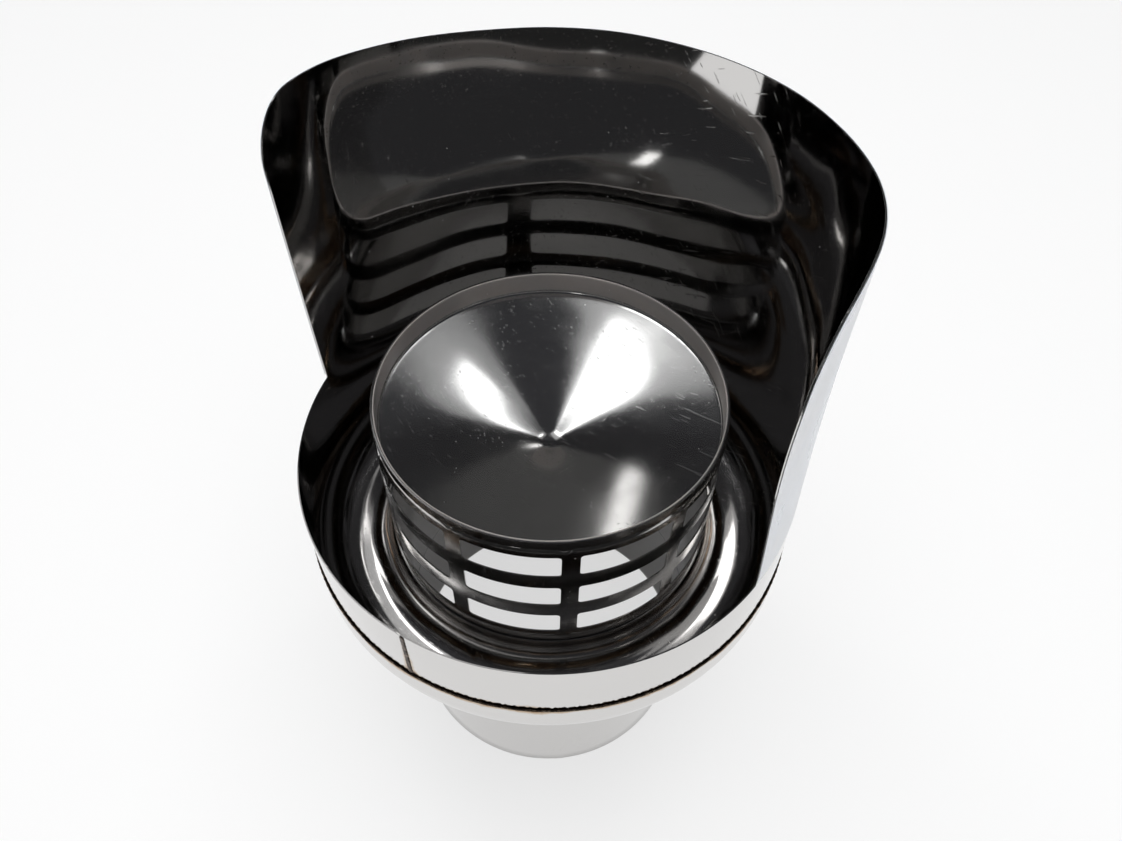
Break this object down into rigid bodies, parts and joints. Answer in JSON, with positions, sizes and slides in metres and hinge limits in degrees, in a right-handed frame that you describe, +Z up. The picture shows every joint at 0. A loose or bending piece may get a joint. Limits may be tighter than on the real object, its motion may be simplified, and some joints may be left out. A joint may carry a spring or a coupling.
{
  "type": "horizontal flue terminal",
  "caption": "Mirror-polished stainless flue terminal: slotted tube with an inverted cone cap, standing in a round pan, with a wide wind hood rolled in one sheet with the collar",
  "frame": {"origin": "centre of the flue tube's open mouth, on the tube's axis", "axes": "+Z runs up the tube's axis from the mouth to the hood; -Y is the side that the picture is taken from, where the collar is open; +X is to the right in the picture"},
  "size_m": [0.2245, 0.2244, 0.327],
  "materials": {
    "tube_steel": "bright rolled stainless steel",
    "mirror_steel": "mirror-polished stainless steel",
    "weld": "unground weld with burnt scale",
    "film": "thin protective film"
  },
  "bodies": {
    "root": {"flue_tube": "tube_steel", "cap": "mirror_steel", "pan": "mirror_steel", "cowl": "mirror_steel", "collar_weld": "weld", "butt_weld": "weld", "protective_film": "film"}
  },
  "joints": []
}
